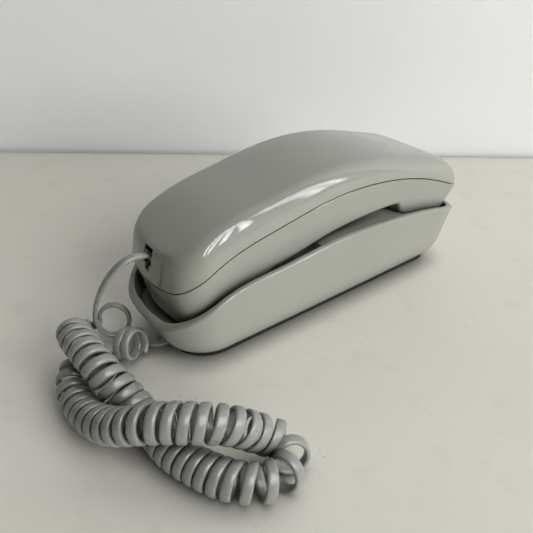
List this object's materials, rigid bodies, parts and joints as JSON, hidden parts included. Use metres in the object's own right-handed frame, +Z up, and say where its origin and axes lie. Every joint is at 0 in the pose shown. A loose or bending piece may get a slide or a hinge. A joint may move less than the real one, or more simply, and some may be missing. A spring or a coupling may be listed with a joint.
{
  "type": "desk telephone",
  "caption": "Corded desk telephone: an arched handset with its keypad underneath rests in a tub-shaped base; a coiled flat cord joins the two.",
  "frame": {"origin": "on the table under the middle of the base", "axes": "+Y along the telephone towards the earpiece end, +Z up; the cord leaves at the -Y end"},
  "size_m": [0.1721, 0.2773, 0.0917],
  "materials": {
    "shell_plastic": "gloss warm grey",
    "face_plastic": "satin warm grey",
    "key_plastic": "light grey",
    "black_plastic": "black moulding",
    "dark_rubber": "black rubber",
    "white_plastic": "off white",
    "clear_plastic": "clear",
    "cord_plastic": "grey jacket",
    "board": "circuit board",
    "steel": "plated steel",
    "contact_brass": "brass",
    "bell_metal": "bell metal",
    "coil_winding": "enamelled copper",
    "capsule_metal": "plain",
    "card": "paper",
    "lamp_glass": "clear"
  },
  "bodies": {
    "base": {"base_housing": "shell_plastic", "base_plate": "black_plastic", "rubber_feet": "dark_rubber", "base_screws": "steel", "cradle_pads": "dark_rubber", "network_board": "board", "board_spacers": "contact_brass", "network_can": "black_plastic", "capacitor": "capsule_metal", "hook_switch": "black_plastic", "switch_contacts": "contact_brass", "plunger_spring": "steel", "ringer_frame": "steel", "ringer_gong": "bell_metal", "gong_screw": "steel", "ringer_coil": "coil_winding", "clapper_pin": "steel", "base_cord_jack": "black_plastic", "base_plug": "clear_plastic", "line_jack": "black_plastic", "cord_upper_lead": "cord_plastic", "cord_loose_turn": "cord_plastic", "cord_bridge": "cord_plastic", "cord_coil_outward": "cord_plastic", "cord_coil_return": "cord_plastic", "cord_lower_lead": "cord_plastic", "cord_slack_turns": "cord_plastic", "cord_tail": "cord_plastic"},
    "handset": {"handset_top_shell": "shell_plastic", "handset_bottom_shell": "shell_plastic", "handset_jack": "black_plastic", "handset_plug": "clear_plastic", "handset_cord_end": "cord_plastic", "receiver_capsule": "capsule_metal", "receiver_gasket": "dark_rubber", "transmitter_capsule": "capsule_metal", "transmitter_holder": "black_plastic", "dial_frame": "face_plastic", "number_card": "card", "number_window": "clear_plastic", "key_dome_sheet": "dark_rubber", "dial_circuit_board": "board", "dial_lamp": "lamp_glass", "handset_screws": "steel"},
    "plunger": {"hook_plunger": "white_plastic"},
    "wheel": {"volume_wheel": "black_plastic"},
    "striker": {"clapper": "steel"},
    "recall": {"recall_button": "key_plastic"},
    "key_1_cap": {"key_1": "key_plastic"},
    "key_2_cap": {"key_2": "key_plastic"},
    "key_3_cap": {"key_3": "key_plastic"},
    "key_4_cap": {"key_4": "key_plastic"},
    "key_5_cap": {"key_5": "key_plastic"},
    "key_6_cap": {"key_6": "key_plastic"},
    "key_7_cap": {"key_7": "key_plastic"},
    "key_8_cap": {"key_8": "key_plastic"},
    "key_9_cap": {"key_9": "key_plastic"},
    "key_star_cap": {"key_star": "key_plastic"},
    "key_0_cap": {"key_0": "key_plastic"},
    "key_hash_cap": {"key_hash": "key_plastic"}
  },
  "joints": [
    {"name": "handset_lift", "type": "slide", "parent": "base", "child": "handset", "axis": [0, 0, 1], "range_m": [0, 0.1]},
    {"name": "hook_plunger_slide", "type": "slide", "parent": "base", "child": "plunger", "axis": [0, 0, 1], "range_m": [0, 0.006], "deforming": ["plunger_spring"]},
    {"name": "volume_wheel_turn", "type": "hinge", "parent": "base", "child": "wheel", "pos_m": [-0.0214, -0.004, 0.0023], "axis": [0, 0, 1], "range_deg": [-135, 135]},
    {"name": "clapper_swing", "type": "hinge", "parent": "base", "child": "striker", "pos_m": [0.0146, -0.012, 0.017], "axis": [0, 0, 1], "range_deg": [-1.5, 3], "stiffness_Nm_per_rad": 0.02},
    {"name": "recall_press", "type": "slide", "parent": "handset", "child": "recall", "axis": [0, 0, 1], "range_m": [0, 0.0016], "stiffness_N_per_m": 400},
    {"name": "key_1_press", "type": "slide", "parent": "handset", "child": "key_1_cap", "axis": [0, 0, 1], "range_m": [0, 0.0016], "stiffness_N_per_m": 400},
    {"name": "key_2_press", "type": "slide", "parent": "handset", "child": "key_2_cap", "axis": [0, 0, 1], "range_m": [0, 0.0016], "stiffness_N_per_m": 400},
    {"name": "key_3_press", "type": "slide", "parent": "handset", "child": "key_3_cap", "axis": [0, 0, 1], "range_m": [0, 0.0016], "stiffness_N_per_m": 400},
    {"name": "key_4_press", "type": "slide", "parent": "handset", "child": "key_4_cap", "axis": [0, 0, 1], "range_m": [0, 0.0016], "stiffness_N_per_m": 400},
    {"name": "key_5_press", "type": "slide", "parent": "handset", "child": "key_5_cap", "axis": [0, 0, 1], "range_m": [0, 0.0016], "stiffness_N_per_m": 400},
    {"name": "key_6_press", "type": "slide", "parent": "handset", "child": "key_6_cap", "axis": [0, 0, 1], "range_m": [0, 0.0016], "stiffness_N_per_m": 400},
    {"name": "key_7_press", "type": "slide", "parent": "handset", "child": "key_7_cap", "axis": [0, 0, 1], "range_m": [0, 0.0016], "stiffness_N_per_m": 400},
    {"name": "key_8_press", "type": "slide", "parent": "handset", "child": "key_8_cap", "axis": [0, 0, 1], "range_m": [0, 0.0016], "stiffness_N_per_m": 400},
    {"name": "key_9_press", "type": "slide", "parent": "handset", "child": "key_9_cap", "axis": [0, 0, 1], "range_m": [0, 0.0016], "stiffness_N_per_m": 400},
    {"name": "key_star_press", "type": "slide", "parent": "handset", "child": "key_star_cap", "axis": [0, 0, 1], "range_m": [0, 0.0016], "stiffness_N_per_m": 400},
    {"name": "key_0_press", "type": "slide", "parent": "handset", "child": "key_0_cap", "axis": [0, 0, 1], "range_m": [0, 0.0016], "stiffness_N_per_m": 400},
    {"name": "key_hash_press", "type": "slide", "parent": "handset", "child": "key_hash_cap", "axis": [0, 0, 1], "range_m": [0, 0.0016], "stiffness_N_per_m": 400}
  ],
  "couplings": [
    {"joint": "hook_plunger_slide", "follows": "handset_lift", "ratio": 0.06}
  ]
}
